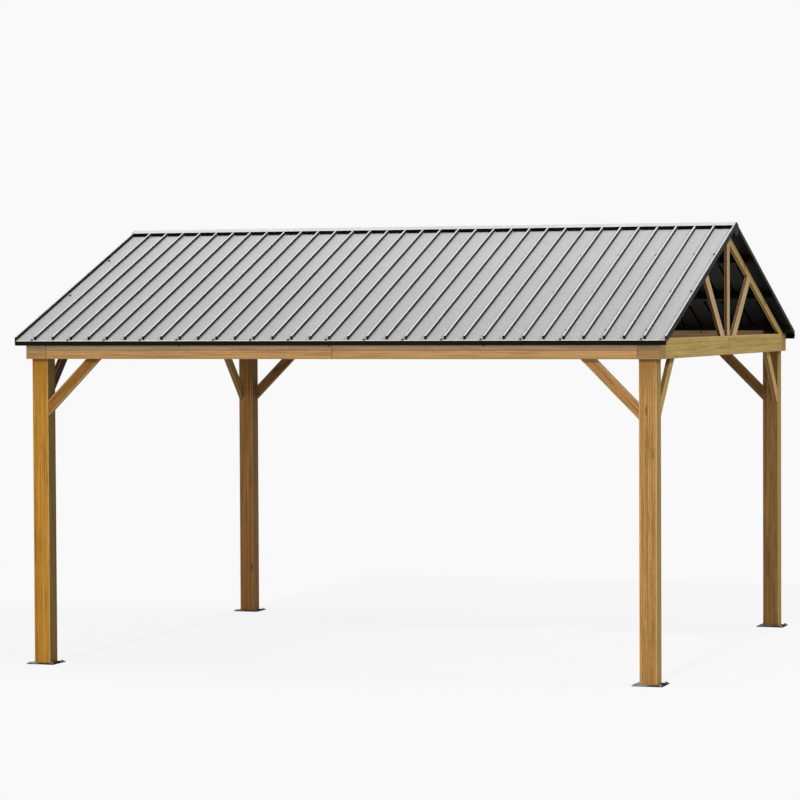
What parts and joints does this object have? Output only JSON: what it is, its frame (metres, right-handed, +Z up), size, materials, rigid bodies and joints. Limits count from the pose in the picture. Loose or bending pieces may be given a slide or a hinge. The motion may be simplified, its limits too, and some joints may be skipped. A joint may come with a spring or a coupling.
{
  "type": "garden gazebo with gable roof",
  "caption": "Open timber garden gazebo with knee braces, open fan-strut gables and a ribbed sheet steel gable roof.",
  "frame": {"origin": "on the ground, at the middle of the plan, under the ridge", "axes": "+X along the ridge, +Y towards the back, +Z up"},
  "size_m": [4.59, 4.0908, 3.0281],
  "materials": {
    "timber": "stained softwood, satin, fine straight grain",
    "roof_steel": "powder coated grey sheet, satin",
    "trim_steel": "powder coated black, satin",
    "frame_steel": "powder coated black, matt",
    "base_steel": "dark coated plate, matt"
  },
  "bodies": {
    "root": {"base_plate_back_left": "base_steel", "base_plate_back_right": "base_steel", "base_plate_front_left": "base_steel", "base_plate_front_right": "base_steel", "corner_block_back_left": "timber", "corner_block_back_right": "timber", "corner_block_front_left": "timber", "corner_block_front_right": "timber", "eave_beam_back_left": "timber", "eave_beam_back_right": "timber", "eave_beam_front_left": "timber", "eave_beam_front_right": "timber", "eave_brace_back_left": "timber", "eave_brace_back_right": "timber", "eave_brace_front_left": "timber", "eave_brace_front_right": "timber", "eave_trim_back": "trim_steel", "eave_trim_front": "trim_steel", "gable_beam_back_left": "timber", "gable_beam_back_right": "timber", "gable_beam_front_left": "timber", "gable_beam_front_right": "timber", "gable_brace_back_left": "timber", "gable_brace_back_right": "timber", "gable_brace_front_left": "timber", "gable_brace_front_right": "timber", "gable_struts_left": "timber", "gable_struts_right": "timber", "king_post_left": "timber", "king_post_right": "timber", "post_back_left": "timber", "post_back_right": "timber", "post_front_left": "timber", "post_front_right": "timber", "purlins_back": "frame_steel", "purlins_front": "frame_steel", "rafter_back_left": "timber", "rafter_back_right": "timber", "rafter_front_left": "timber", "rafter_front_right": "timber", "rake_trim_back_left": "trim_steel", "rake_trim_back_right": "trim_steel", "rake_trim_front_left": "trim_steel", "rake_trim_front_right": "trim_steel", "ridge_cap": "roof_steel", "ridge_purlin": "frame_steel", "roof_sheet_back": "roof_steel", "roof_sheet_front": "roof_steel"}
  },
  "joints": []
}
